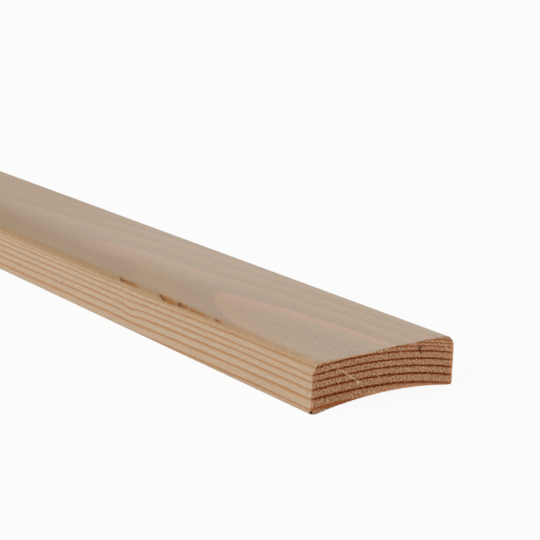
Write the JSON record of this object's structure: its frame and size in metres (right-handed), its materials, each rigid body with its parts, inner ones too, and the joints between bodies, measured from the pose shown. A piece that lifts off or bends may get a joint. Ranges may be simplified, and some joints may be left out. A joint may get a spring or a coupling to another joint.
{
  "type": "architrave moulding",
  "caption": "Plain timber architrave moulding: a straight board with a flat face, rounded front edges, a shallow hollow back and square-cut ends, used to trim around a door or window.",
  "frame": {"origin": "middle of the length and of the width, at the level of the two back lands that the board lies on", "axes": "+X along the length, +Y across the width, +Z from the hollow back to the flat face"},
  "size_m": [2.2, 0.042, 0.012],
  "materials": {
    "pine": "planed, untreated"
  },
  "bodies": {
    "root": {"architrave": "pine"}
  },
  "joints": []
}
